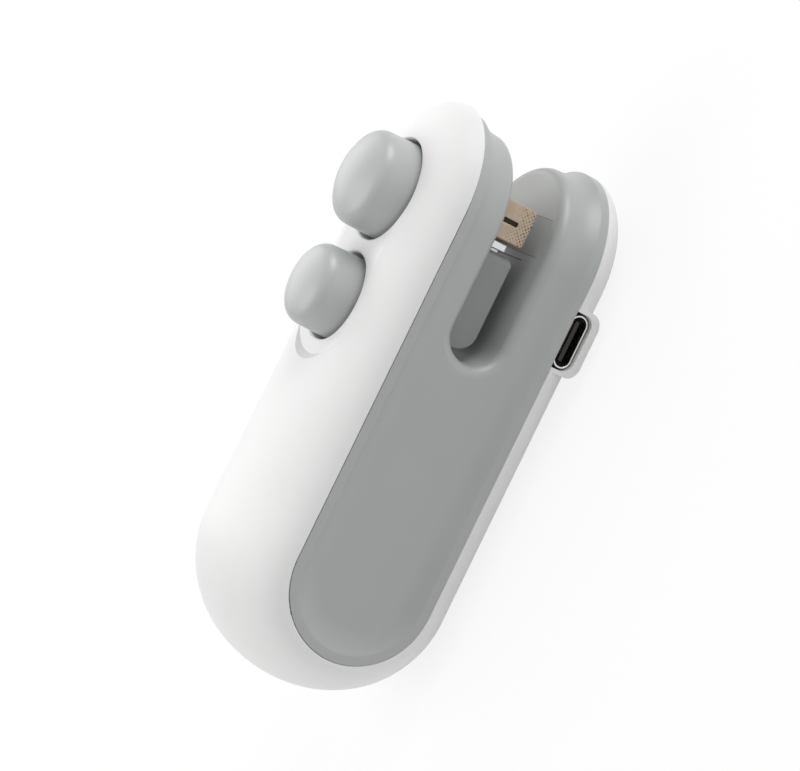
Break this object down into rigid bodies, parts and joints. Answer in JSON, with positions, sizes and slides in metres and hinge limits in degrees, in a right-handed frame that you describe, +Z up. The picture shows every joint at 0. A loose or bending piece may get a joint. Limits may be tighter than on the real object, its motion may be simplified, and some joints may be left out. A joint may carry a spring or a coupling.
{
  "type": "handheld bag heat sealer",
  "caption": "Handheld bag heat sealer: capsule body with an open mouth at one end, domed seal and cut buttons, dished side panels, and a cloth-wrapped heater and a cutter inside the mouth.",
  "frame": {"origin": "middle of the bounding box in X and Y, on its bottom face; the narrow flat along the underside of the white band lies on Z = 0", "axes": "+X runs along the body to the mouth, +Y across the body to the side without the charging port, +Z up to the buttons"},
  "size_m": [0.0938, 0.0328, 0.0453],
  "materials": {
    "white_plastic": "satin moulded",
    "grey_plastic": "satin moulded",
    "button_plastic": "satin moulded",
    "dark_plastic": "matt moulded, heat resistant",
    "heater_ceramic": "unglazed",
    "heating_alloy": "rolled ribbon",
    "glass_cloth": "coated plain weave",
    "blade_steel": "ground",
    "spring_steel": "drawn wire",
    "zinc_steel": "zinc plated",
    "silicone": "matt",
    "board_laminate": "solder mask",
    "component_plastic": "moulded",
    "socket_steel": "bright nickel",
    "cell_foil": "laminated foil",
    "lead_jacket": "silicone jacket"
  },
  "bodies": {
    "housing": {"outer_shell": "white_plastic", "left_housing": "grey_plastic", "right_housing": "grey_plastic", "housing_screws": "zinc_steel", "pressure_pad": "silicone", "switch_board": "board_laminate", "seal_switch": "component_plastic", "main_board": "board_laminate", "board_screws": "zinc_steel", "board_components": "component_plastic", "usb_shell": "socket_steel", "usb_tongue": "component_plastic", "battery_cell": "cell_foil", "battery_leads": "lead_jacket", "jaw_leads": "lead_jacket", "seal_springs": "spring_steel", "cut_springs": "spring_steel"},
    "seal_head": {"seal_button": "button_plastic", "seal_plunger": "dark_plastic", "heater_bar": "heater_ceramic", "heating_ribbon": "heating_alloy", "cloth_cover": "glass_cloth"},
    "cutter": {"cut_button": "button_plastic", "cutter_carriage": "dark_plastic", "blade": "blade_steel", "blade_clamp": "blade_steel"}
  },
  "joints": [
    {"name": "seal_press", "type": "slide", "parent": "housing", "child": "seal_head", "axis": [0, 0, -1], "range_m": [0, 0.0026], "stiffness_N_per_m": 1500, "deforming": ["seal_springs"]},
    {"name": "cut_press", "type": "slide", "parent": "housing", "child": "cutter", "axis": [0, 0, -1], "range_m": [0, 0.0024], "stiffness_N_per_m": 1000, "deforming": ["cut_springs"]}
  ]
}
